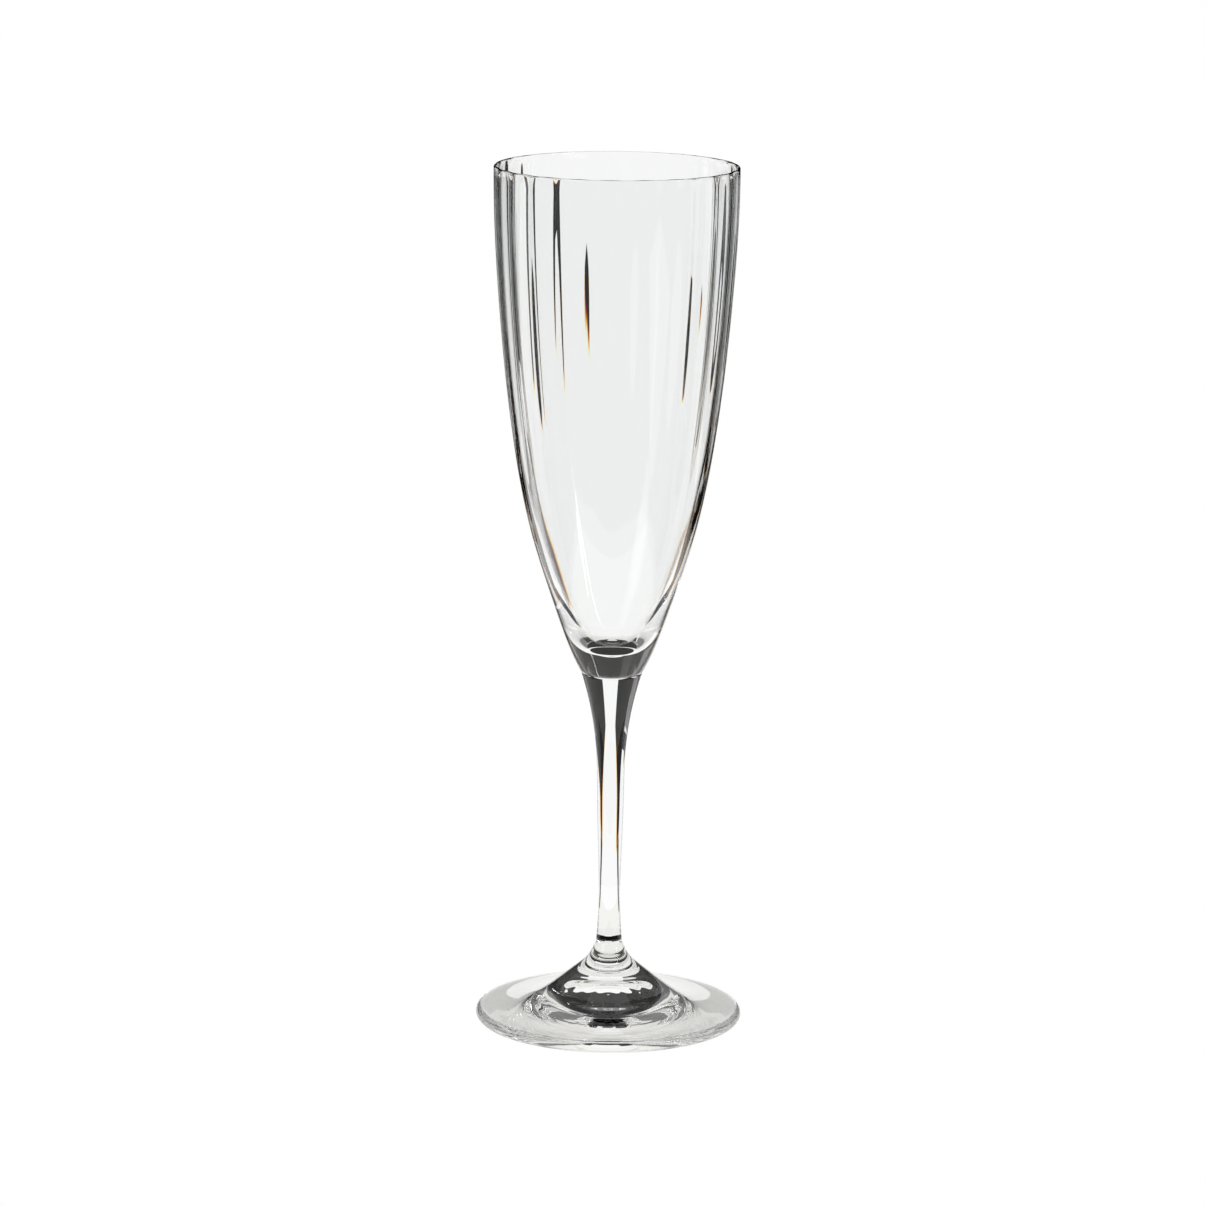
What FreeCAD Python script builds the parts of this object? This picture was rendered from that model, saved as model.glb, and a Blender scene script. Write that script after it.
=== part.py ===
"""Champagne flute: a mould-blown optic bowl, a drawn stem and a pressed foot, hot-joined end to end.

The frame's origin is the centre of the table face that the foot rests on, with +Z up the axis of
the glass. All sizes are in millimetres and live in the spreadsheet called sizes. In a smooth
curve, a pull is a control point: the curve leans towards it and passes a little inside it.
"""

import FreeCAD
import Part
import Sketcher

import math
import os

# Driving dimensions: alias, value in millimetres (or a plain count), and what the value is.
SIZES = [
    ("total_height", 230.0, "foot's resting face to the top of the rim"),
    ("bowl_seam_height", 95.0, "where the bowl is joined to the stem"),
    ("bowl_seam_radius", 8.1, "bowl and stem at their seam"),
    ("foot_seam_height", 21.7, "where the stem is joined to the foot"),
    ("foot_seam_radius", 3.45, "stem and foot at their seam"),
    # bowl, outside, from the seam up
    ("base_radius", 13.4, "pull of the outside just above the seam"),
    ("taper_radius", 21.5, "pull of the outside in the taper"),
    ("belly_radius", 27.95, "pull of the outside at the taper's top"),
    ("flank_radius", 30.85, "pull of the outside in the upper half"),
    ("brim_radius", 32.3, "pull of the outside just under the rim"),
    ("rim_radius", 32.2, "bowl's outside at the rim"),
    ("lip_thickness", 0.8, "fire-polished lip, a full round"),
    # bowl, the round well at the bottom of the cavity
    ("dimple_radius", 2.1, "small dimple at the bottom of the well"),
    ("dimple_depth", 0.4, "how deep that dimple is"),
    ("well_height", 101.9, "bottom of the well, beside the dimple"),
    ("well_radius", 5.4, "pull of the well's round bottom"),
    ("corner_radius", 8.0, "pull of the well's lower corner"),
    ("corner_height", 104.0, "height of that pull"),
    ("throat_radius", 11.55, "pull of the well under the flutes"),
    ("throat_height", 111.6, "height of that pull"),
    # bowl, the fluted cavity: each ring's height, its radius on the ridges, the flutes' depth
    ("fade_height", 118.0, "ring where the flutes fade out"),
    ("fade_ridge", 14.2, "cavity's radius there"),
    ("fade_depth", 0.0, "flutes' depth there"),
    ("lower_height", 136.0, "lower ring"),
    ("lower_ridge", 20.27, "cavity's radius there"),
    ("lower_depth", 0.03, "flutes' depth there"),
    ("middle_height", 158.0, "middle ring"),
    ("middle_ridge", 25.27, "cavity's radius there"),
    ("middle_depth", 0.15, "flutes' depth there"),
    ("upper_height", 186.0, "upper ring"),
    ("upper_ridge", 29.05, "cavity's radius there"),
    ("upper_depth", 0.31, "flutes' depth there"),
    ("crown_height", 218.0, "ring under the lip"),
    ("crown_ridge", 31.0, "cavity's radius there"),
    ("crown_depth", 0.27, "flutes' depth there"),
    ("flute_count", 24, "optic flutes round the cavity"),
    ("pilot_radius", 9.0, "straight bore that the flutes are cut out from"),
    ("root_radius", 8.1, "inner end of each flute's cut, inside that bore"),
    # stem, from the foot's seam up
    ("ankle_radius", 2.8, "pull of the stem just above the foot"),
    ("shin_radius", 2.85, "pull of the stem's narrowest stretch"),
    ("shaft_radius", 3.72, "pull of the stem at mid-height"),
    ("neck_radius", 3.48, "pull of the stem under the flare"),
    ("flare_radius", 6.2, "pull of the stem's flare"),
    # foot, upper side, from the seam out
    ("instep_radius", 3.6, "pull of the fillet round the stem"),
    ("instep_height", 20.9, "height of that pull"),
    ("cone_top_radius", 5.0, "pull where the fillet meets the cone"),
    ("cone_top_height", 16.9, "height of that pull"),
    ("cone_radius", 10.0, "pull in the cone's upper half"),
    ("cone_height", 13.1, "height of that pull"),
    ("cone_foot_radius", 15.0, "pull in the cone's lower half"),
    ("cone_foot_height", 8.9, "height of that pull"),
    ("sole_radius", 21.0, "pull where the cone meets the flange"),
    ("sole_height", 4.4, "height of that pull"),
    ("flange_radius", 28.0, "pull on the flange"),
    ("flange_height", 3.3, "height of that pull"),
    ("foot_radius", 35.6, "outermost edge of the foot"),
    ("edge_thickness", 3.2, "foot's edge, a full round"),
    # foot, underside, from the edge in
    ("ring_radius", 30.0, "inside of the flat resting ring"),
    ("hollow_radius", 9.8, "edge of the hollow in the middle of the dished underside"),
    ("dish_height", 1.5, "dish at the hollow's edge"),
    ("hollow_height", 2.6, "crown of the hollow"),
    ("dish_out_radius", 16.9, "pull where the dish leaves its level middle"),
    ("dish_in_radius", 22.9, "pull where the dish meets the resting face"),
]


# Sketcher's numbers for the ends and the centre of an edge, and for the sketch's own axes.
START, END, CENTRE = 1, 2, 3
H_AXIS, V_AXIS = -1, -2
ORIGIN = (-1, START)
UPRIGHT = FreeCAD.Vector(0, 0, 1)
CUBIC = 3

# What the sheet says about each ring of the fluted cavity.
RING = ("height", "ridge", "depth")


class Size:
    """A length with the sheet formula that drives it."""

    def __init__(self, value, formula):
        self.value = float(value)
        self.formula = formula

    @staticmethod
    def of(other):
        return other if isinstance(other, Size) else Size(other, str(other))

    def __add__(self, other):
        other = Size.of(other)
        return Size(self.value + other.value, f"({self.formula} + {other.formula})")

    def __sub__(self, other):
        other = Size.of(other)
        return Size(self.value - other.value, f"({self.formula} - {other.formula})")

    def __mul__(self, other):
        other = Size.of(other)
        return Size(self.value * other.value, f"({self.formula} * {other.formula})")

    def __truediv__(self, other):
        other = Size.of(other)
        return Size(self.value / other.value, f"({self.formula} / {other.formula})")


class Sheet:
    """The document's spreadsheet of driving dimensions, read as sizes."""

    def __init__(self, doc):
        cells = doc.addObject("Spreadsheet::Sheet", "sizes")
        self.sizes = {}
        for row, (alias, value, note) in enumerate(SIZES, start=1):
            cells.set(f"A{row}", note)
            cells.set(f"B{row}", str(value))
            cells.setAlias(f"B{row}", alias)
            self.sizes[alias] = Size(value, f"sizes.{alias}")
        doc.recompute()

    def __getitem__(self, alias):
        return self.sizes[alias]

    def point(self, name):
        """A point of an outline: radius and height."""
        return self[f"{name}_radius"], self[f"{name}_height"]


def between(low, high, share):
    """The size a share of the way from low to high."""
    return low + (high - low) * share


def even_pulls(start, end, radii):
    """Pulls at the heights that make a smooth curve's height grow evenly along it."""
    spans = len(radii) - 1
    steps = [1.0 / 3.0, *range(1, spans), spans - 1.0 / 3.0]
    return [(radius, between(start, end, step / spans)) for radius, step in zip(radii, steps)]


def origin_plane(body, role):
    """The body's own origin plane of that role."""
    return next(plane for plane in body.Origin.OriginFeatures if plane.Role == role)


def origin_axis(body, role):
    """The body's own origin axis of that role."""
    return next(axis for axis in body.Origin.OriginFeatures if axis.Role == role)


def new_sketch(body, name, role):
    """An empty sketch on one of the body's own origin planes."""
    sketch = body.newObject("Sketcher::SketchObject", name)
    sketch.AttachmentSupport = [(origin_plane(body, role), "")]
    sketch.MapMode = "FlatFace"
    return sketch


class Outline:
    """A closed outline in a body's XZ plane, drawn edge by edge and turned about the Z axis.

    Points are (radius, height) pairs of sizes. A radius or height of None lies on that axis.
    """

    def __init__(self, body, name, start):
        self.body = body
        self.sketch = new_sketch(body, name, "XZ_Plane")
        self.start = start
        self.last = start
        self.head = None
        self.tail = None

    def place(self, point):
        radius, height = point
        return FreeCAD.Vector(radius.value if radius else 0.0, height.value if height else 0.0, 0.0)

    def pin(self, edge, spot, point):
        """Holds one point of an edge at its radius and height."""
        radius, height = point
        hold(self.sketch, "DistanceX", edge, spot, radius, V_AXIS)
        hold(self.sketch, "DistanceY", edge, spot, height, H_AXIS)

    def join(self, curve, near, far):
        """Adds an edge whose near end meets the last edge's far end."""
        edge = self.sketch.addGeometry(curve, False)
        if self.tail:
            self.sketch.addConstraint(Sketcher.Constraint("Coincident", *self.tail, edge, near))
        else:
            self.head = (edge, near)
        self.tail = (edge, far)
        return edge

    def line_to(self, end):
        edge = self.join(Part.LineSegment(self.place(self.last), self.place(end)), START, END)
        self.pin(edge, END, end)
        self.last = end
        return self

    def curve_to(self, pulls, end):
        """A smooth curve (cubic B-spline) that leans towards each pull in turn."""
        points = [self.last, *pulls, end]
        places = [self.place(point) for point in points]
        curve = Part.BSplineCurve(places, None, None, False, CUBIC, None, False)
        edge = self.join(curve, START, END)
        for number, (point, place) in enumerate(zip(points, places)):
            circle = Part.Circle(place, UPRIGHT, 1.0)
            pole = self.sketch.addGeometry(circle, True)
            pole_kind = "InternalAlignment:Sketcher::BSplineControlPoint"
            self.sketch.addConstraint(Sketcher.Constraint(pole_kind, pole, CENTRE, edge, number))
            self.sketch.addConstraint(Sketcher.Constraint("Weight", pole, 1.0))
            if number > 0:
                self.pin(pole, CENTRE, point)
        self.last = end
        return self

    def half_round_to(self, end):
        """A half circle, anticlockwise, to a point level with the last one or straight above it."""
        start, finish = self.place(self.last), self.place(end)
        centre = (start + finish) / 2
        turn = math.atan2(start.y - centre.y, start.x - centre.x)
        circle = Part.Circle(centre, UPRIGHT, start.distanceToPoint(centre))
        edge = self.join(Part.ArcOfCircle(circle, turn, turn + math.pi), START, END)
        line_up = "Horizontal" if start.y == finish.y else "Vertical"
        self.sketch.addConstraint(Sketcher.Constraint(line_up, edge, CENTRE, edge, START))
        self.pin(edge, END, end)
        self.last = end
        return self

    def dome_to(self, end):
        """An arc centred on the axis, between a point on the axis and a point beside it."""
        start, finish = self.place(self.last), self.place(end)
        rise = finish.y - start.y
        reach = (finish - start).Length ** 2 / (2 * rise)
        centre = FreeCAD.Vector(0, start.y + reach, 0)
        circle = Part.Circle(centre, UPRIGHT, abs(reach))
        foot = math.atan2(start.y - centre.y, start.x - centre.x)
        edge_turn = math.atan2(finish.y - centre.y, finish.x - centre.x)
        if rise > 0:
            edge = self.join(Part.ArcOfCircle(circle, foot, edge_turn), START, END)
            self.pin(edge, END, end)
        else:
            edge = self.join(Part.ArcOfCircle(circle, edge_turn, foot), END, START)
            self.pin(edge, START, end)
        self.sketch.addConstraint(Sketcher.Constraint("PointOnObject", edge, CENTRE, V_AXIS))
        self.last = end
        return self

    def revolve(self, name):
        """Closes the outline along the axis and turns it into a solid."""
        self.line_to(self.start)
        self.sketch.addConstraint(Sketcher.Constraint("Coincident", *self.tail, *self.head))
        revolution = self.body.newObject("PartDesign::Revolution", name)
        revolution.Profile = self.sketch
        revolution.ReferenceAxis = (self.sketch, ["V_Axis"])
        revolution.Angle = 360
        return revolution


def hold(sketch, kind, edge, spot, size, axis):
    """Pins one coordinate of a point: to a driven distance, or onto the axis where size is None."""
    if size is None:
        sketch.addConstraint(Sketcher.Constraint("PointOnObject", edge, spot, axis))
        return
    constraint = sketch.addConstraint(Sketcher.Constraint(kind, *ORIGIN, edge, spot, size.value))
    sketch.setExpression(f"Constraints[{constraint}]", size.formula)


def flute_section(body, name, sheet, height, ridge, depth):
    """One flute's slice of the cavity at one height.

    The slice runs out from inside the pilot bore to two ridges, and a shallow arc through the
    flute's valley joins the ridges.
    """
    sketch = new_sketch(body, f"{name}_slice", "XY_Plane")
    sketch.AttachmentOffset = FreeCAD.Placement(
        FreeCAD.Vector(0, 0, height.value), FreeCAD.Rotation()
    )
    sketch.setExpression("AttachmentOffset.Base.z", height.formula)

    half_pitch = math.pi / sheet["flute_count"].value
    across = Size(math.cos(half_pitch), "cos(180 deg / sizes.flute_count)")
    aside = Size(math.sin(half_pitch), "sin(180 deg / sizes.flute_count)")
    root = sheet["root_radius"]
    valley = ridge + depth

    def corner(radius, side):
        return FreeCAD.Vector((radius * across).value, side * (radius * aside).value, 0)

    tip = FreeCAD.Vector(valley.value, 0, 0)
    root_low, root_high = corner(root, -1), corner(root, 1)
    ridge_low, ridge_high = corner(ridge, -1), corner(ridge, 1)
    low_side = sketch.addGeometry(Part.LineSegment(root_low, ridge_low), False)
    flute = sketch.addGeometry(Part.Arc(ridge_low, tip, ridge_high), False)
    high_side = sketch.addGeometry(Part.LineSegment(ridge_high, root_high), False)
    back = sketch.addGeometry(Part.LineSegment(root_high, root_low), False)
    valley_point = sketch.addGeometry(Part.Point(tip), True)

    for near, far in ((low_side, flute), (flute, high_side), (high_side, back), (back, low_side)):
        sketch.addConstraint(Sketcher.Constraint("Coincident", near, END, far, START))
    sketch.addConstraint(Sketcher.Constraint("Symmetric", flute, START, flute, END, H_AXIS))
    sketch.addConstraint(Sketcher.Constraint("Symmetric", back, START, back, END, H_AXIS))
    hold(sketch, "DistanceX", flute, END, ridge * across, V_AXIS)
    hold(sketch, "DistanceY", flute, END, ridge * aside, H_AXIS)
    hold(sketch, "DistanceX", back, START, root * across, V_AXIS)
    hold(sketch, "DistanceY", back, START, root * aside, H_AXIS)
    hold(sketch, "DistanceX", valley_point, START, valley, V_AXIS)
    hold(sketch, "DistanceY", valley_point, START, None, H_AXIS)
    sketch.addConstraint(Sketcher.Constraint("PointOnObject", valley_point, START, flute))
    return sketch


def make_bowl(doc, sheet):
    """The bowl: smooth outside, round well and 24 shallow optic flutes inside."""
    body = doc.addObject("PartDesign::Body", "bowl")
    lip = sheet["lip_thickness"]
    lip_height = sheet["total_height"] - lip / 2
    mouth_radius = sheet["rim_radius"] - lip
    seam_height = sheet["bowl_seam_height"]
    outside = [sheet[f"{name}_radius"] for name in ("base", "taper", "belly", "flank", "brim")]

    # The blank is a vase with a plug in its mouth: only the pilot bore and the well are open.
    blank = (
        Outline(body, "bowl_outline", (None, seam_height))
        .line_to(sheet.point("bowl_seam"))
        .curve_to(even_pulls(seam_height, lip_height, outside), (sheet["rim_radius"], lip_height))
        .half_round_to((mouth_radius, lip_height))
        .line_to((sheet["pilot_radius"], lip_height))
        .line_to((sheet["pilot_radius"], sheet["fade_height"]))
        .line_to((sheet["fade_ridge"], sheet["fade_height"]))
        .curve_to(
            [sheet.point("throat"), sheet.point("corner"), sheet.point("well")],
            (sheet["dimple_radius"], sheet["well_height"]),
        )
        .dome_to((None, sheet["well_height"] - sheet["dimple_depth"]))
        .revolve("blank")
    )
    doc.recompute()

    # The flutes cut the plug away, each one its own slice of the cavity.
    slices = [
        flute_section(body, name, sheet, *(sheet[f"{name}_{what}"] for what in RING))
        for name in ("fade", "lower", "middle", "upper", "crown")
    ]
    flat = Size(0.0, "0")
    slices.append(flute_section(body, "mouth", sheet, lip_height, mouth_radius, flat))
    doc.recompute()
    flute = body.newObject("PartDesign::SubtractiveLoft", "flute")
    flute.Profile = slices[0]
    flute.Sections = slices[1:]
    flute.Ruled = False
    doc.recompute()
    flutes = body.newObject("PartDesign::PolarPattern", "flutes")
    flutes.Originals = [flute]
    flutes.Axis = (origin_axis(body, "Z_Axis"), [""])
    flutes.Angle = 360
    flutes.setExpression("Occurrences", "sizes.flute_count")
    body.Tip = flutes
    doc.recompute()
    check_cut(blank, flute, "one flute")
    check_cut(flute, flutes, "all the flutes")
    return body


def make_stem(doc, sheet):
    """The stem: drawn solid, narrowest above the foot and flared up to the bowl."""
    body = doc.addObject("PartDesign::Body", "stem")
    low, high = sheet["foot_seam_height"], sheet["bowl_seam_height"]
    radii = [sheet[f"{name}_radius"] for name in ("ankle", "shin", "shaft", "neck", "flare")]
    (
        Outline(body, "stem_outline", (None, low))
        .line_to(sheet.point("foot_seam"))
        .curve_to(even_pulls(low, high, radii), sheet.point("bowl_seam"))
        .line_to((None, high))
        .revolve("drawn_stem")
    )
    return body


def make_foot(doc, sheet):
    """The foot: a low cone on a flange with a round edge, dished underneath."""
    body = doc.addObject("PartDesign::Body", "foot")
    edge = sheet["edge_thickness"]
    edge_radius = sheet["foot_radius"] - edge / 2
    ring, hollow = sheet["ring_radius"], sheet["hollow_radius"]
    dish = sheet["dish_height"]
    upper = [sheet.point(name) for name in ("flange", "sole", "cone_foot", "cone", "cone_top", "instep")]
    (
        Outline(body, "foot_outline", (None, sheet["hollow_height"]))
        .dome_to((hollow, dish))
        .curve_to([(sheet["dish_out_radius"], dish), (sheet["dish_in_radius"], None)], (ring, None))
        .line_to((edge_radius, None))
        .half_round_to((edge_radius, edge))
        .curve_to(upper, sheet.point("foot_seam"))
        .line_to((None, sheet["foot_seam_height"]))
        .revolve("pressed_foot")
    )
    return body


def check_cut(before, after, what):
    """Stops if a cut took no material away."""
    if after.Shape.Volume >= before.Shape.Volume:
        raise RuntimeError(f"{what} took nothing away")


def check_document(doc, bodies):
    """Stops if any object failed, or any body isn't one valid solid."""
    for thing in doc.Objects:
        if {"Invalid", "Error"} & set(thing.State):
            raise RuntimeError(f"{thing.Label} failed: {thing.State}")
    for body in bodies:
        if body.Shape.isNull() or not body.Shape.isValid() or len(body.Shape.Solids) != 1:
            raise RuntimeError(f"{body.Label} isn't one valid solid")


def main():
    doc = FreeCAD.newDocument("champagne_flute")
    sheet = Sheet(doc)
    bodies = [make(doc, sheet) for make in (make_bowl, make_stem, make_foot)]
    doc.recompute()
    check_document(doc, bodies)
    os.makedirs("parts", exist_ok=True)
    for body in bodies:
        body.Shape.exportStep(f"parts/{body.Label}.step")
        box = body.Shape.BoundBox
        print(
            f"{body.Label}: {body.Shape.Volume / 1000:.2f} cm3, radius {box.XMax:.2f}, "
            f"height {box.ZMin:.2f} to {box.ZMax:.2f}, {len(body.Shape.Faces)} faces"
        )


main()
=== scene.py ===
"""Looks of the champagne flute: clear optic-ribbed glass on a plain pale floor.

Every length is in metres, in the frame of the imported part: the origin is the centre of the face
that the foot rests on, with +Z up the axis of the glass. In a smooth outline, a pull is a
control point: the curve leans towards it and passes a little inside it.
"""

import logging
import math
from dataclasses import dataclass, field
from enum import Enum

import bpy
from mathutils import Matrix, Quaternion, Vector


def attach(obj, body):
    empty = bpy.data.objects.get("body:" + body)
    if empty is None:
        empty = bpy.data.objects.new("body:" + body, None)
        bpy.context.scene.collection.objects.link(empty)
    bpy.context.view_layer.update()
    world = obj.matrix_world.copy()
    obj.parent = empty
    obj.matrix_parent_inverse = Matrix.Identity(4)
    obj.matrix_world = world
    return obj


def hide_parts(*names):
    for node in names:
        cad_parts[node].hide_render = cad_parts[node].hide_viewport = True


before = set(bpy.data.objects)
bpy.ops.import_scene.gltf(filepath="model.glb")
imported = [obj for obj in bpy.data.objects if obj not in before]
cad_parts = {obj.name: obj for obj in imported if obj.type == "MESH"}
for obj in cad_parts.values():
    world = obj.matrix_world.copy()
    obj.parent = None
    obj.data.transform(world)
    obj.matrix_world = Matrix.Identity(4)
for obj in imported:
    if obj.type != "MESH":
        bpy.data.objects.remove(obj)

log = logging.getLogger("flute")

BODY = "root"
CUBIC_ORDER = 4
WELD = 2e-7
LEVEL_ENOUGH = 0.999
AT_SEAM = 1e-5
ON_AXIS = 1e-9

Point = tuple[float, float]
Place = tuple[float, float, float]
Colour = tuple[float, float, float, float]

WHITE: Colour = (1.0, 1.0, 1.0, 1.0)


class Line(Enum):
    """How a drawn line runs between its points."""

    SMOOTH = "NURBS"
    STRAIGHT = "POLY"


# --- bench work: drawing an outline and spinning it ----------------------------------------------


def clear_selection() -> None:
    """Deselects everything, so that an operator acts only on what is picked next."""
    if bpy.context.object and bpy.context.object.mode != "OBJECT":
        bpy.ops.object.mode_set(mode="OBJECT")
    bpy.ops.object.select_all(action="DESELECT")


def pick(piece: bpy.types.Object) -> None:
    """Selects one object alone and makes it active.

    Args:
        piece: The object to work on.
    """
    clear_selection()
    piece.select_set(True)
    bpy.context.view_layer.objects.active = piece


def draw_curve(points: list[Point], kind: Line, name: str) -> bpy.types.Object:
    """Draws points as one curve in the XZ plane.

    Args:
        points: Points as radius and height. A smooth curve passes near those in between.
        kind: A smooth cubic curve or straight steps.
        name: Name for the curve.

    Returns:
        The curve object.
    """
    clear_selection()
    bpy.ops.curve.primitive_nurbs_path_add(location=(0.0, 0.0, 0.0))
    curve = bpy.context.object
    curve.name = name
    curve.data.splines.clear()
    spline = curve.data.splines.new(kind.value)
    spline.points.add(len(points) - 1)
    for knot, (radius, height) in zip(spline.points, points):
        knot.co = (radius, 0.0, height, 1.0)
    if kind is Line.SMOOTH:
        spline.order_u = CUBIC_ORDER
        spline.use_endpoint_u = True
    return curve


def smooth_run(points: list[Point], steps: int) -> list[Point]:
    """Follows a smooth cubic curve from its first point to its last.

    Args:
        points: The start, the pulls and the end, as radius and height.
        steps: About how many straight steps the run is divided into.

    Returns:
        Points along the run, both ends included.
    """
    curve = draw_curve(points, Line.SMOOTH, "run")
    curve.data.splines[0].resolution_u = max(2, math.ceil(steps / (len(points) - 1)))
    bpy.ops.object.convert(target="MESH")
    run = bpy.context.object
    followed = [(vertex.co.x, vertex.co.z) for vertex in run.data.vertices]
    bpy.data.objects.remove(run)
    return followed


def arc_run(centre: Point, radius: float, start: float, end: float, steps: int) -> list[Point]:
    """Points along an arc.

    Args:
        centre: The arc's centre.
        radius: Its radius.
        start: Angle of its start, in degrees from straight outwards.
        end: Angle of its end.
        steps: How many straight steps it is divided into.

    Returns:
        Points along the arc, both ends included.
    """
    turns = [math.radians(start + (end - start) * step / steps) for step in range(steps + 1)]
    return [(centre[0] + radius * math.cos(a), centre[1] + radius * math.sin(a)) for a in turns]


def dome_run(foot: Point, crown: float, steps: int) -> list[Point]:
    """Points along a shallow dome or dish, from its crown on the axis out to its edge.

    Args:
        foot: The dome's edge, as radius and height.
        crown: Height of its middle.
        steps: How many straight steps it is divided into.

    Returns:
        Points from the axis to the edge, both included.
    """
    reach, rise = foot[0], crown - foot[1]
    sphere = (reach * reach + rise * rise) / (2.0 * rise)
    centre = crown - sphere
    radii = [reach * step / steps for step in range(steps + 1)]
    side = math.copysign(1.0, rise)
    return [(r, centre + side * math.sqrt(sphere * sphere - r * r)) for r in radii]


def straight_run(start: Point, end: Point, steps: int) -> list[Point]:
    """Points along a straight line.

    Args:
        start: Where it starts.
        end: Where it ends.
        steps: How many equal steps it is divided into.

    Returns:
        Points along the line, both ends included.
    """
    shares = [step / steps for step in range(steps + 1)]
    return [(start[0] + (end[0] - start[0]) * s, start[1] + (end[1] - start[1]) * s) for s in shares]


def even_pulls(start: float, end: float, radii: list[float]) -> list[Point]:
    """Sets pulls at the heights that make a smooth curve's height grow evenly along it.

    Args:
        start: Height where the curve starts.
        end: Height where it ends.
        radii: The pulls' radii, from the start to the end.

    Returns:
        The pulls as radius and height.
    """
    spans = len(radii) - 1
    steps = [1.0 / 3.0, *range(1, spans), spans - 1.0 / 3.0]
    return [(radius, start + (end - start) * step / spans) for radius, step in zip(radii, steps)]


def ease(share: float) -> float:
    """Eases from 0 to 1 with a level start and end."""
    share = min(1.0, max(0.0, share))
    return share * share * (3.0 - 2.0 * share)


def turn_outline(name: str, runs: list[list[Point]], columns: int) -> bpy.types.Object:
    """Turns an outline round the Z axis into one closed piece, as on a lathe.

    Args:
        name: Name for the piece.
        runs: The outline's runs in order, from the axis round to the axis again.
        columns: How many columns of faces go round the piece.

    Returns:
        The piece, with its place in its mesh and its faces pointing outwards.
    """
    outline: list[Point] = []
    for run in runs:
        outline.extend(p for p in run if not outline or math.dist(p, outline[-1]) > WELD)
    draw_curve(outline, Line.STRAIGHT, name)
    bpy.ops.object.convert(target="MESH")
    piece = bpy.context.object
    piece.data.name = name
    bpy.ops.object.modifier_add(type="SCREW")
    lathe = piece.modifiers[-1]
    lathe.angle = math.tau
    lathe.steps = lathe.render_steps = columns
    lathe.use_merge_vertices = True
    lathe.merge_threshold = WELD
    bpy.ops.object.modifier_apply(modifier=lathe.name)
    bpy.ops.object.mode_set(mode="EDIT")
    bpy.ops.mesh.select_all(action="SELECT")
    bpy.ops.mesh.remove_doubles(threshold=WELD)
    bpy.ops.mesh.normals_make_consistent(inside=False)
    bpy.ops.object.mode_set(mode="OBJECT")
    bpy.ops.object.shade_smooth()
    return piece


# --- finishes ------------------------------------------------------------------------------------


@dataclass(frozen=True)
class ClearGlass:
    """Clear lead-free crystal: faint cords drawn along the piece and a faint tint in its depth."""

    name: str
    tint: Colour = (0.985, 0.992, 0.988, 1.0)
    ior: float = 1.52
    cord_width: float = 0.004
    cord_stretch: float = 14.0
    cord_height: float = 0.000004
    film_size: float = 1.0 / 60.0
    film_detail: float = 4.0
    film_starts: float = 0.55
    film_full: float = 0.8
    film_roughness: float = 0.012

    def material(self) -> bpy.types.Material:
        """Mixes the finish as a node material.

        Returns:
            The material.
        """
        made = bpy.data.materials.new(self.name)
        made.use_nodes = True
        nodes, links = made.node_tree.nodes, made.node_tree.links
        glass = nodes["Principled BSDF"]
        glass.inputs["Base Color"].default_value = self.tint
        glass.inputs["Transmission Weight"].default_value = 1.0
        glass.inputs["IOR"].default_value = self.ior
        glass.inputs["Roughness"].default_value = 0.0

        place = nodes.new("ShaderNodeTexCoord")
        along = nodes.new("ShaderNodeMapping")
        along.inputs["Scale"].default_value = (1.0, 1.0, 1.0 / self.cord_stretch)
        links.new(place.outputs["Object"], along.inputs["Vector"])

        cords = nodes.new("ShaderNodeTexNoise")
        cords.inputs["Scale"].default_value = 1.0 / self.cord_width
        cords.inputs["Detail"].default_value = 1.0
        links.new(along.outputs["Vector"], cords.inputs["Vector"])
        ripple = nodes.new("ShaderNodeBump")
        ripple.inputs["Distance"].default_value = self.cord_height
        links.new(cords.outputs["Fac"], ripple.inputs["Height"])
        links.new(ripple.outputs["Normal"], glass.inputs["Normal"])

        film = nodes.new("ShaderNodeTexNoise")
        film.inputs["Scale"].default_value = 1.0 / self.film_size
        film.inputs["Detail"].default_value = self.film_detail
        links.new(place.outputs["Object"], film.inputs["Vector"])
        haze = nodes.new("ShaderNodeMapRange")
        haze.inputs["From Min"].default_value = self.film_starts
        haze.inputs["From Max"].default_value = self.film_full
        haze.inputs["To Max"].default_value = self.film_roughness
        links.new(film.outputs["Fac"], haze.inputs["Value"])
        links.new(haze.outputs["Result"], glass.inputs["Roughness"])
        return made


@dataclass(frozen=True)
class FusedSeam:
    """Where two pieces are fused there is no surface, so this face lets light straight through."""

    name: str = "fused_seam"

    def material(self) -> bpy.types.Material:
        """Makes the seam's material.

        Returns:
            The material.
        """
        made = bpy.data.materials.new(self.name)
        made.use_nodes = True
        glass = made.node_tree.nodes["Principled BSDF"]
        glass.inputs["Base Color"].default_value = WHITE
        glass.inputs["Transmission Weight"].default_value = 1.0
        glass.inputs["IOR"].default_value = 1.0
        glass.inputs["Roughness"].default_value = 0.0
        return made


# --- the glass -----------------------------------------------------------------------------------


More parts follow.
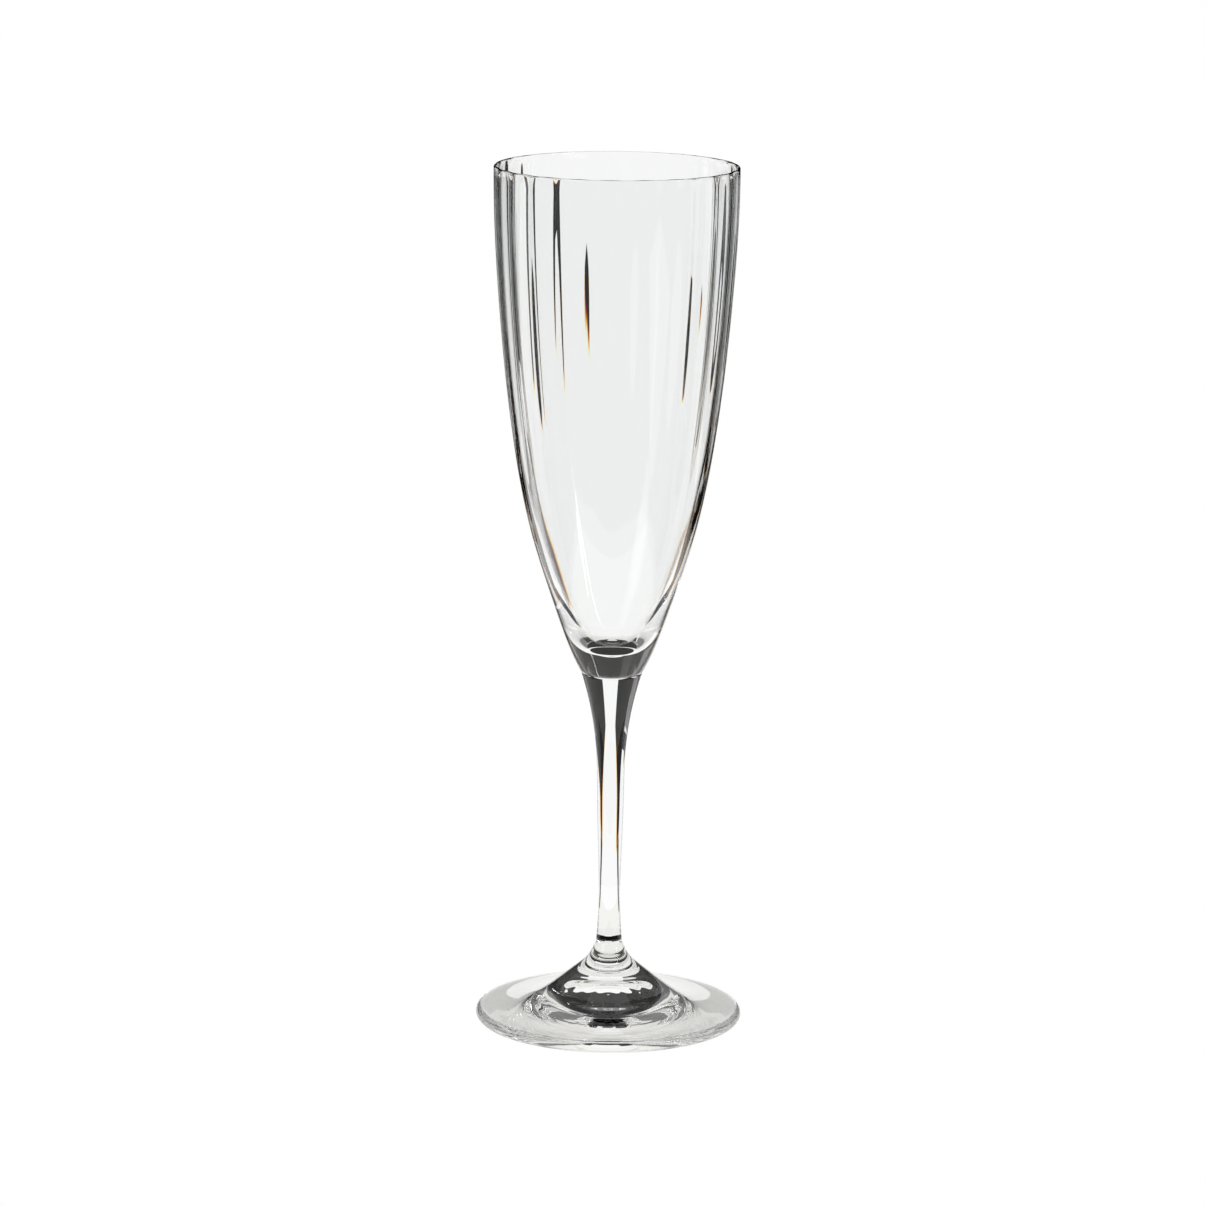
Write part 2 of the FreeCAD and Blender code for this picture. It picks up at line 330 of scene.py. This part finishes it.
@dataclass
class GlassPiece:
    """One separately made piece of the flute."""

    node: str
    slot: str
    glass: bpy.types.Material
    seam: bpy.types.Material
    seam_heights: list[float] = field(default_factory=list)

    def finish(self, piece: bpy.types.Object) -> bpy.types.Object:
        """Dresses the piece, frees its fused faces and puts it on the frame.

        Args:
            piece: The modelled piece.

        Returns:
            The same piece.
        """
        piece.data.materials.append(self.glass)
        piece.data.materials.append(self.seam)
        for face in piece.data.polygons:
            level = abs(face.normal.z) > LEVEL_ENOUGH
            fused = level and any(abs(face.center.z - z) < AT_SEAM for z in self.seam_heights)
            face.material_index = 1 if fused else 0
        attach(piece, BODY)
        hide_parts(self.node)
        log.info("%s: %d faces", piece.name, len(piece.data.polygons))
        return piece


@dataclass
class Bowl(GlassPiece):
    """The bowl: smooth outside, round well, and optic ribs down the inside."""

    top: float = 0.230
    seam_height: float = 0.095
    seam_radius: float = 0.0081
    rim_radius: float = 0.0322
    lip_thickness: float = 0.00080
    well_height: float = 0.1019
    dimple_radius: float = 0.0021
    dimple_depth: float = 0.0004
    rib_count: int = 24
    rib_turn: float = 2.6
    rib_roundness: float = 1.27
    rib_depth: float = 0.00032
    rib_start: float = 0.128
    rib_full: float = 0.190
    rib_thinning: float = 0.25
    rib_thinning_start: float = 0.200
    seam_steps: int = 4
    outer_steps: int = 98
    lip_steps: int = 10
    inner_steps: int = 90
    dimple_steps: int = 8
    columns: int = 384

    def outline(self) -> list[list[Point]]:
        """Draws the bowl's outline, from the seam out and over the lip to the well.

        Returns:
            The outline's runs in order.
        """
        half_lip = self.lip_thickness / 2.0
        lip_height = self.top - half_lip
        outer_pulls = [
            (0.0114, 0.101),
            (0.01535, 0.113),
            (0.0231, 0.135),
            (0.0280, 0.165),
            (0.0311, 0.197),
            (0.03228, 0.219),
        ]
        inner_pulls = [
            (0.0314, 0.216),
            (0.0304, 0.194),
            (0.0275, 0.1685),
            (0.0226, 0.1425),
            (0.0155, 0.1205),
            (0.0099, 0.1080),
            (0.0061, 0.1028),
            (0.0034, self.well_height),
        ]
        mouth = self.rim_radius - self.lip_thickness
        well_edge = (self.dimple_radius, self.well_height)
        seam = (self.seam_radius, self.seam_height)
        brim = (self.rim_radius, lip_height)
        dimple = dome_run(well_edge, self.well_height - self.dimple_depth, self.dimple_steps)
        return [
            straight_run((0.0, self.seam_height), seam, self.seam_steps),
            smooth_run([seam, *outer_pulls, brim], self.outer_steps),
            arc_run((self.rim_radius - half_lip, lip_height), half_lip, 0.0, 180.0, self.lip_steps),
            smooth_run([(mouth, lip_height), *inner_pulls, well_edge], self.inner_steps),
            dimple[::-1],
        ]

    def rib_height(self, place: Vector, normal: Vector) -> float:
        """How far a rib stands in from the cavity's wall at one place.

        Args:
            place: A vertex of the piece.
            normal: Which way the surface faces there.

        Returns:
            The rib's height, 0 outside the cavity.
        """
        radius = math.hypot(place.x, place.y)
        inward = -(normal.x * place.x + normal.y * place.y) / max(radius, ON_AXIS)
        if inward <= 0.0 or place.z <= self.rib_start:
            return 0.0
        grown = ease((place.z - self.rib_start) / (self.rib_full - self.rib_start))
        upwards = (place.z - self.rib_thinning_start) / (self.top - self.rib_thinning_start)
        thinned = 1.0 - self.rib_thinning * max(0.0, upwards)
        turn = math.atan2(place.x, place.y) - math.radians(self.rib_turn)
        across = (turn * self.rib_count / math.tau) % 1.0
        beside = abs(2.0 * across - 1.0)
        rounded = (1.0 - math.cos(math.pi * beside)) / 2.0
        profile = self.rib_roundness * rounded + (1.0 - self.rib_roundness) * beside * beside
        return self.rib_depth * grown * thinned * profile * inward

    def raise_ribs(self, piece: bpy.types.Object) -> None:
        """Raises the optic ribs on the inside with a weighted push along the surface's normals.

        Args:
            piece: The plain bowl.
        """
        heights = [self.rib_height(v.co, v.normal) for v in piece.data.vertices]
        tallest = max(heights)
        group = piece.vertex_groups.new(name="ribs")
        for vertex, height in zip(piece.data.vertices, heights):
            if height > 0.0:
                group.add([vertex.index], height / tallest, "REPLACE")
        pick(piece)
        bpy.ops.object.modifier_add(type="DISPLACE")
        push = piece.modifiers[-1]
        push.vertex_group = group.name
        push.mid_level = 0.0
        push.strength = tallest
        bpy.ops.object.modifier_apply(modifier=push.name)
        piece.vertex_groups.clear()

    def build(self) -> bpy.types.Object:
        """Models the bowl.

        Returns:
            The finished piece.
        """
        piece = turn_outline("bowl_glass", self.outline(), self.columns)
        self.raise_ribs(piece)
        self.seam_heights = [self.seam_height]
        return self.finish(piece)


@dataclass
class Stem(GlassPiece):
    """The stem: drawn solid, narrowest above the foot and flared up to the bowl."""

    low: float = 0.0217
    high: float = 0.095
    foot_radius: float = 0.00345
    bowl_radius: float = 0.0081
    low_steps: int = 3
    high_steps: int = 4
    side_steps: int = 138
    columns: int = 256

    def build(self) -> bpy.types.Object:
        """Models the stem.

        Returns:
            The finished piece.
        """
        radii = [0.0028, 0.00285, 0.00372, 0.00348, 0.0062]
        pulls = even_pulls(self.low, self.high, radii)
        side = [(self.foot_radius, self.low), *pulls, (self.bowl_radius, self.high)]
        runs = [
            straight_run((0.0, self.low), side[0], self.low_steps),
            smooth_run(side, self.side_steps),
            straight_run(side[-1], (0.0, self.high), self.high_steps),
        ]
        self.seam_heights = [self.low, self.high]
        return self.finish(turn_outline("stem_glass", runs, self.columns))


@dataclass
class Foot(GlassPiece):
    """The foot: a low cone on a flange with a round edge, dished underneath."""

    seam_height: float = 0.0217
    seam_radius: float = 0.00345
    radius: float = 0.0356
    edge_thickness: float = 0.0032
    ring_radius: float = 0.030
    hollow_radius: float = 0.0098
    dish_height: float = 0.0015
    hollow_height: float = 0.0026
    dish_leaves: float = 0.35
    dish_lands: float = 0.65
    ripple_pitch: float = 0.0023
    ripple_depth: float = 0.000025
    ripple_end: float = 0.018
    hollow_steps: int = 50
    dish_steps: int = 120
    ring_steps: int = 3
    edge_steps: int = 20
    upper_steps: int = 98
    seam_steps: int = 3
    columns: int = 288

    def rippled(self, run: list[Point]) -> list[Point]:
        """Presses the faint round ripples of the mould into a run of the underside.

        Args:
            run: Points of the smooth underside.

        Returns:
            The same points, raised a little where a ripple is.
        """
        pressed: list[Point] = []
        for radius, height in run:
            wave = (1.0 - math.cos(math.tau * radius / self.ripple_pitch)) / 2.0
            fade = 1.0 - ease(radius / self.ripple_end - 0.5)
            pressed.append((radius, height + self.ripple_depth * wave * fade if height > 0.0 else 0.0))
        return pressed

    def build(self) -> bpy.types.Object:
        """Models the foot.

        Returns:
            The finished piece.
        """
        half_edge = self.edge_thickness / 2.0
        edge_radius = self.radius - half_edge
        width = self.ring_radius - self.hollow_radius
        dish = [
            (self.hollow_radius, self.dish_height),
            (self.hollow_radius + self.dish_leaves * width, self.dish_height),
            (self.hollow_radius + self.dish_lands * width, 0.0),
            (self.ring_radius, 0.0),
        ]
        upper = [
            (edge_radius, self.edge_thickness),
            (0.0280, 0.0033),
            (0.0210, 0.0044),
            (0.0150, 0.0089),
            (0.0100, 0.0131),
            (0.0050, 0.0169),
            (0.0036, 0.0209),
            (self.seam_radius, self.seam_height),
        ]
        runs = [
            self.rippled(dome_run(dish[0], self.hollow_height, self.hollow_steps)),
            self.rippled(smooth_run(dish, self.dish_steps)),
            straight_run(dish[-1], (edge_radius, 0.0), self.ring_steps),
            arc_run((edge_radius, half_edge), half_edge, -90.0, 90.0, self.edge_steps),
            smooth_run(upper, self.upper_steps),
            straight_run(upper[-1], (0.0, self.seam_height), self.seam_steps),
        ]
        self.seam_heights = [self.seam_height]
        return self.finish(turn_outline("foot_glass", runs, self.columns))


# --- the studio ----------------------------------------------------------------------------------


def glow(name: str, colour: Colour, strength: float) -> bpy.types.Material:
    """A plain lit surface.

    Args:
        name: Name for the material.
        colour: Its colour.
        strength: How bright it is, where 1 is paper white.

    Returns:
        The material.
    """
    made = bpy.data.materials.new(name)
    made.use_nodes = True
    nodes, links = made.node_tree.nodes, made.node_tree.links
    nodes.clear()
    out = nodes.new("ShaderNodeOutputMaterial")
    lit = nodes.new("ShaderNodeEmission")
    lit.inputs["Color"].default_value = colour
    lit.inputs["Strength"].default_value = strength
    links.new(lit.outputs["Emission"], out.inputs["Surface"])
    return made


@dataclass(frozen=True)
class Edge:
    """A straight edge on the floor, seen from above."""

    start: Point
    end: Point

    def dark_side(self) -> tuple[Point, float]:
        """Finds which way the dark lies: to the right of the way from start to end.

        Returns:
            The level direction across the edge, and the edge's distance along it.
        """
        run_x, run_y = self.end[0] - self.start[0], self.end[1] - self.start[1]
        length = math.hypot(run_x, run_y)
        across = (run_y / length, -run_x / length)
        return across, across[0] * self.start[0] + across[1] * self.start[1]


@dataclass(frozen=True)
class BlackFlag:
    """Black cloth whose edges are soft, with painted warm and cool rims that stand in for the colour
    fringes thick glass gives them.
    """

    name: str
    edges: tuple[Edge, ...]
    level: float = 0.006
    white: float = 1.0
    softness: float = 0.008
    painted_fringe: float = 0.004

    def material(self) -> bpy.types.Material:
        """Mixes the cloth: one brightness for each of red, green and blue, set apart to paint the colour
        fringes.

        Returns:
            The material.
        """
        made = bpy.data.materials.new(self.name)
        made.use_nodes = True
        nodes, links = made.node_tree.nodes, made.node_tree.links
        nodes.clear()
        out = nodes.new("ShaderNodeOutputMaterial")
        lit = nodes.new("ShaderNodeEmission")
        blend = nodes.new("ShaderNodeCombineColor")
        place = nodes.new("ShaderNodeTexCoord")
        # Painted colour fringes: the red and blue edges are shifted apart, standing in for the glass's
        # dispersion.
        for channel, shift in (("Red", self.painted_fringe), ("Green", 0.0), ("Blue", -self.painted_fringe)):
            darkest = None
            for edge in self.edges:
                across, distance = edge.dark_side()
                measure = nodes.new("ShaderNodeVectorMath")
                measure.operation = "DOT_PRODUCT"
                measure.inputs[1].default_value = (across[0], across[1], 0.0)
                links.new(place.outputs["Object"], measure.inputs[0])
                fade = nodes.new("ShaderNodeMapRange")
                fade.interpolation_type = "SMOOTHSTEP"
                fade.inputs["From Min"].default_value = distance + shift - self.softness
                fade.inputs["From Max"].default_value = distance + shift + self.softness
                fade.inputs["To Min"].default_value = self.white
                fade.inputs["To Max"].default_value = self.level
                links.new(measure.outputs["Value"], fade.inputs["Value"])
                shade = fade.outputs["Result"]
                if darkest is not None:
                    both = nodes.new("ShaderNodeMath")
                    both.operation = "MAXIMUM"
                    links.new(darkest, both.inputs[0])
                    links.new(shade, both.inputs[1])
                    shade = both.outputs["Value"]
                darkest = shade
            links.new(darkest, blend.inputs[channel])
        links.new(blend.outputs["Color"], lit.inputs["Color"])
        links.new(lit.outputs["Emission"], out.inputs["Surface"])
        return made


@dataclass(frozen=True)
class PaperSweepWithPaintedShade:
    """White paper with painted shade: a little greyer close to the glass and away from the middle."""

    name: str = "paper_sweep_painted_shade"
    near_shade_level: float = 0.92
    far_level: float = 1.0
    near: float = 0.35
    far: float = 0.70
    side_shade_level: float = 0.84
    side: float = 0.22

    def material(self) -> bpy.types.Material:
        """Mixes the paper and its painted shade.

        Returns:
            The material.
        """
        made = bpy.data.materials.new(self.name)
        made.use_nodes = True
        nodes, links = made.node_tree.nodes, made.node_tree.links
        nodes.clear()
        out = nodes.new("ShaderNodeOutputMaterial")
        lit = nodes.new("ShaderNodeEmission")
        place = nodes.new("ShaderNodeTexCoord")
        # Painted shade: the paper is darker near the glass and to either side of the middle.
        reach = nodes.new("ShaderNodeVectorMath")
        reach.operation = "LENGTH"
        links.new(place.outputs["Object"], reach.inputs[0])
        along = nodes.new("ShaderNodeMapRange")
        along.inputs["From Min"].default_value = self.near
        along.inputs["From Max"].default_value = self.far
        along.inputs["To Min"].default_value = self.near_shade_level
        along.inputs["To Max"].default_value = self.far_level
        links.new(reach.outputs["Value"], along.inputs["Value"])
        parts = nodes.new("ShaderNodeSeparateXYZ")
        links.new(place.outputs["Object"], parts.inputs["Vector"])
        aside = nodes.new("ShaderNodeMath")
        aside.operation = "ABSOLUTE"
        links.new(parts.outputs["X"], aside.inputs[0])
        across = nodes.new("ShaderNodeMapRange")
        across.inputs["From Max"].default_value = self.side
        across.inputs["To Min"].default_value = 1.0
        across.inputs["To Max"].default_value = self.side_shade_level
        links.new(aside.outputs["Value"], across.inputs["Value"])
        level = nodes.new("ShaderNodeMath")
        level.operation = "MULTIPLY"
        links.new(along.outputs["Result"], level.inputs[0])
        links.new(across.outputs["Result"], level.inputs[1])
        links.new(level.outputs["Value"], lit.inputs["Strength"])
        links.new(lit.outputs["Emission"], out.inputs["Surface"])
        return made


@dataclass(frozen=True)
class Lamp:
    """A soft rectangular lamp."""

    name: str
    place: Place
    size: tuple[float, float]
    watts: float

    def hang(self, aim: Vector) -> None:
        """Hangs the lamp.

        Args:
            aim: What it points at.
        """
        clear_selection()
        bpy.ops.object.light_add(type="AREA", location=self.place)
        lamp = bpy.context.object
        lamp.name = self.name
        lamp.data.shape = "RECTANGLE"
        lamp.data.size, lamp.data.size_y = self.size
        lamp.data.energy = self.watts
        lamp.rotation_mode = "QUATERNION"
        lamp.rotation_quaternion = (aim - Vector(self.place)).to_track_quat("-Z", "Y")


@dataclass
class Studio:
    """Pale floor, white and black cards round it, soft lamps and the camera."""

    floor_drop: float = 0.0001
    card_drop: float = 0.0004
    card_gap: float = 0.000025
    floor_radius: float = 4.0
    floor_sides: int = 96
    card_distance: float = 1.44
    card_height: float = 0.33
    card_reach: float = 1.2
    flag_height: float = 2.4
    flag_reach: float = 1.0
    flag_gap: float = 0.01
    flag_start: float = 0.1
    right_wing: Point = (1.9, 1.1)
    left_wing: Point = (-1.1, 1.35)
    # The near card's size, level and tint set a painted shade under and round the glass.
    near_reach: float = 0.16
    near_shade_level: float = 0.92
    near_shade_tint: Colour = (1.0, 0.99, 0.965, 1.0)
    black_level: float = 0.012
    tail_outer: tuple[Point, ...] = ((0.112, 0.20), (0.150, 0.20), (0.135, 0.12), (0.105, 0.13))
    tail_inner: tuple[Point, ...] = ((0.105, 0.13), (0.135, 0.12), (0.09, 0.04), (0.075, 0.055))
    left_tail_share: float = 0.9
    front_diagonal: tuple[Point, ...] = ((0.2, -0.2), (0.45, -0.75), (0.85, -1.0), (0.6, -0.45))
    rear_diagonal: tuple[Point, ...] = ((-0.13, 0.20), (-0.20, 0.13), (-0.45, 0.35), (-0.35, 0.45))
    right_edge: Edge = Edge((0.114, 0.20), (0.325, 1.44))
    right_side: Edge = Edge((3.9, 0.45), (0.16, 0.20))
    left_edge: Edge = Edge((-0.22, 1.44), (-0.089, 0.20))
    left_side: Edge = Edge((-0.13, 0.20), (-3.9, 0.45))
    room_level: float = 0.18
    white_level: float = 1.0
    lamp_aim: float = 0.12
    lamps: tuple[Lamp, ...] = (
        Lamp("strip_right", (0.92, -0.53, 0.87), (0.05, 1.2), 1.8),
        Lamp("soft_left", (-0.82, -0.69, 0.87), (0.5, 1.1), 1.6),
        Lamp("soft_top", (0.0, -0.2, 1.6), (1.2, 1.2), 2.0),
    )
    bounces: int = 32
    camera_place: Place = (0.0, -1.31957, 0.38980)
    camera_pitch: float = 0.20627
    camera_yaw: float = 0.00192
    camera_roll: float = 0.01044
    camera_lens: float = 151.9
    camera_sensor: float = 36.0
    camera_nearest: float = 0.05
    camera_farthest: float = 50.0

    def card(self, name: str, corners: list[Place], look: bpy.types.Material) -> None:
        """Sets a flat card in the studio, where only the glass sees it.

        Args:
            name: Name for the card.
            corners: Its four corners in order.
            look: Its material.
        """
        clear_selection()
        bpy.ops.mesh.primitive_plane_add(size=1.0, location=(0.0, 0.0, 0.0))
        card = bpy.context.object
        card.name = name
        order = (0, 1, 3, 2)
        for vertex, corner in zip((card.data.vertices[i] for i in order), corners):
            vertex.co = corner
        card.data.materials.append(look)
        card.visible_camera = False
        card.visible_diffuse = False
        card.visible_shadow = False

    def flat_card(self, name: str, layer: int, corners: list[Point], look: bpy.types.Material) -> None:
        """Lays a card level, just under the floor.

        Args:
            name: Name for the card.
            layer: How many cards lie under it.
            corners: Its four corners in order, seen from above.
            look: Its material.
        """
        height = -self.card_drop + layer * self.card_gap
        self.card(name, [(x, y, height) for x, y in corners], look)

    def build_floor(self) -> None:
        """Lays the pale floor, which the glass sees as the cards laid on it."""
        clear_selection()
        bpy.ops.mesh.primitive_circle_add(
            vertices=self.floor_sides, radius=self.floor_radius, fill_type="NGON", location=(0.0, 0.0, 0.0)
        )
        floor = bpy.context.object
        floor.name = "floor"
        for vertex in floor.data.vertices:
            vertex.co.z = -self.floor_drop
        floor.data.materials.append(glow("pale_floor", WHITE, self.white_level))
        floor.visible_glossy = False
        floor.visible_transmission = False

    def upright_card(
        self, name: str, ends: tuple[Point, Point], low: float, high: float, look: bpy.types.Material
    ) -> None:
        """Stands a card on edge.

        Args:
            name: Name for the card.
            ends: Its two ends, seen from above.
            low: Height of its lower edge.
            high: Height of its upper edge.
            look: Its material.
        """
        start, end = ends
        self.card(name, [(*start, low), (*end, low), (*end, high), (*start, high)], look)

    def lay_floor_cards(self, white: bpy.types.Material, black: bpy.types.Material) -> None:
        """Lays the level cards: room, paper with painted shade, a patch of painted shade under the glass,
        white patches, flags and thin dark strips beside the glass.

        Args:
            white: The white card's look.
            black: The black card's look.
        """
        wide, far, near, start = self.floor_radius, self.card_distance, self.near_reach, self.flag_start
        room = glow("grey_card", WHITE, self.room_level)
        self.flat_card("card_front", 0, [(-wide, -wide), (wide, -wide), (wide, 0.0), (-wide, 0.0)], room)
        # The rear card is the paper with its painted shade.
        shaded_sweep = PaperSweepWithPaintedShade().material()
        self.flat_card("card_rear", 0, [(-wide, 0.0), (wide, 0.0), (wide, wide), (-wide, wide)], shaded_sweep)
        # Painted shade: a warm grey patch under the glass, standing in for the shadow the glass throws on
        # the floor.
        shade_under_glass = glow("near_card_painted_shade", self.near_shade_tint, self.near_shade_level)
        self.flat_card("card_near_painted_shade", 1, [(-near, -near), (near, -near), (near, near), (-near, near)], shade_under_glass)
        self.flat_card("card_diagonal", 1, list(self.front_diagonal), white)
        right = BlackFlag("black_flag_right", (self.right_edge, self.right_side)).material()
        left = BlackFlag("black_flag_left", (self.left_edge, self.left_side)).material()
        self.flat_card("flag_right", 2, [(0.0, start), (wide, start), (wide, far), (0.0, far)], right)
        self.flat_card("flag_left", 2, [(-wide, start), (0.0, start), (0.0, far), (-wide, far)], left)
        # Thin dark strips laid close beside the glass, a little narrower on the left.
        for side, word in ((1.0, "right"), (-self.left_tail_share, "left")):
            outer = [(x * side, y) for x, y in self.tail_outer]
            inner = [(x * side, y) for x, y in self.tail_inner]
            self.flat_card(f"tail_outer_{word}", 3, outer, black)
            self.flat_card(f"tail_inner_{word}", 3, inner, black)
        self.flat_card("card_rear_diagonal", 3, list(self.rear_diagonal), white)

    def build_cards(self) -> None:
        """Lays and stands the white and black cards round the glass."""
        white = glow("white_card", WHITE, self.white_level)
        black = glow("black_card", WHITE, self.black_level)
        self.lay_floor_cards(white, black)
        far, wide, reach = self.card_distance, self.card_reach, self.flag_reach
        self.upright_card("card_back", ((-wide, far), (wide, far)), 0.0, self.card_height, white)
        above = ((-reach, far), (reach, far))
        self.upright_card("flag_back_top", above, self.card_height, self.flag_height, black)
        for word, edge, wing in (
            ("right", self.right_edge.end, self.right_wing),
            ("left", self.left_edge.start, self.left_wing),
        ):
            ends = ((edge[0], far - self.flag_gap), wing)
            self.upright_card(f"flag_back_{word}", ends, 0.0, self.flag_height, black)

    def build_world(self) -> None:
        """Fills the rest of the room: white for the camera, grey for what the glass bends in."""
        world = bpy.data.worlds.new("studio")
        bpy.context.scene.world = world
        world.use_nodes = True
        nodes, links = world.node_tree.nodes, world.node_tree.links
        nodes.clear()
        out = nodes.new("ShaderNodeOutputWorld")
        seen = nodes.new("ShaderNodeLightPath")
        mix = nodes.new("ShaderNodeMixShader")
        room = nodes.new("ShaderNodeBackground")
        room.inputs["Color"].default_value = WHITE
        room.inputs["Strength"].default_value = self.room_level
        paper = nodes.new("ShaderNodeBackground")
        paper.inputs["Color"].default_value = WHITE
        paper.inputs["Strength"].default_value = self.white_level
        links.new(seen.outputs["Is Camera Ray"], mix.inputs["Fac"])
        links.new(room.outputs["Background"], mix.inputs[1])
        links.new(paper.outputs["Background"], mix.inputs[2])
        links.new(mix.outputs["Shader"], out.inputs["Surface"])

    def build_lamps(self) -> None:
        """Hangs the lamps round the glass."""
        for lamp in self.lamps:
            lamp.hang(Vector((0.0, 0.0, self.lamp_aim)))

    def build_camera(self) -> None:
        """Sets the camera."""
        clear_selection()
        bpy.ops.object.camera_add(location=self.camera_place)
        camera = bpy.context.object
        camera.name = "camera"
        level = Vector((-math.sin(self.camera_yaw), math.cos(self.camera_yaw), 0.0))
        ahead = level * math.cos(self.camera_pitch) - Vector((0.0, 0.0, math.sin(self.camera_pitch)))
        camera.rotation_mode = "QUATERNION"
        roll = Quaternion((0.0, 0.0, 1.0), self.camera_roll)
        camera.rotation_quaternion = ahead.to_track_quat("-Z", "Y") @ roll
        camera.data.lens = self.camera_lens
        camera.data.sensor_width = self.camera_sensor
        camera.data.clip_start = self.camera_nearest
        camera.data.clip_end = self.camera_farthest
        bpy.context.scene.camera = camera

    def set_exposure(self) -> None:
        """Sets plain colours and enough bounces for light to find its way through the glass."""
        scene = bpy.context.scene
        scene.view_settings.view_transform = "Standard"
        scene.view_settings.look = "None"
        scene.cycles.max_bounces = self.bounces
        scene.cycles.transmission_bounces = self.bounces
        scene.cycles.glossy_bounces = self.bounces
        scene.cycles.transparent_max_bounces = self.bounces

    def build(self) -> None:
        """Sets up the studio."""
        self.build_floor()
        self.build_cards()
        self.build_world()
        self.build_lamps()
        self.build_camera()
        self.set_exposure()


def main() -> None:
    """Models the glass, dresses it and sets up the studio."""
    logging.basicConfig(level=logging.INFO)
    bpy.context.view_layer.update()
    seam = FusedSeam().material()
    for node, blank in (("bowl", Bowl), ("stem", Stem), ("foot", Foot)):
        glass = ClearGlass(f"{node}_clear_glass").material()
        blank(node=node, slot=f"{node}_glass", glass=glass, seam=seam).build()
    Studio().build()


if __name__ == "__main__":
    main()
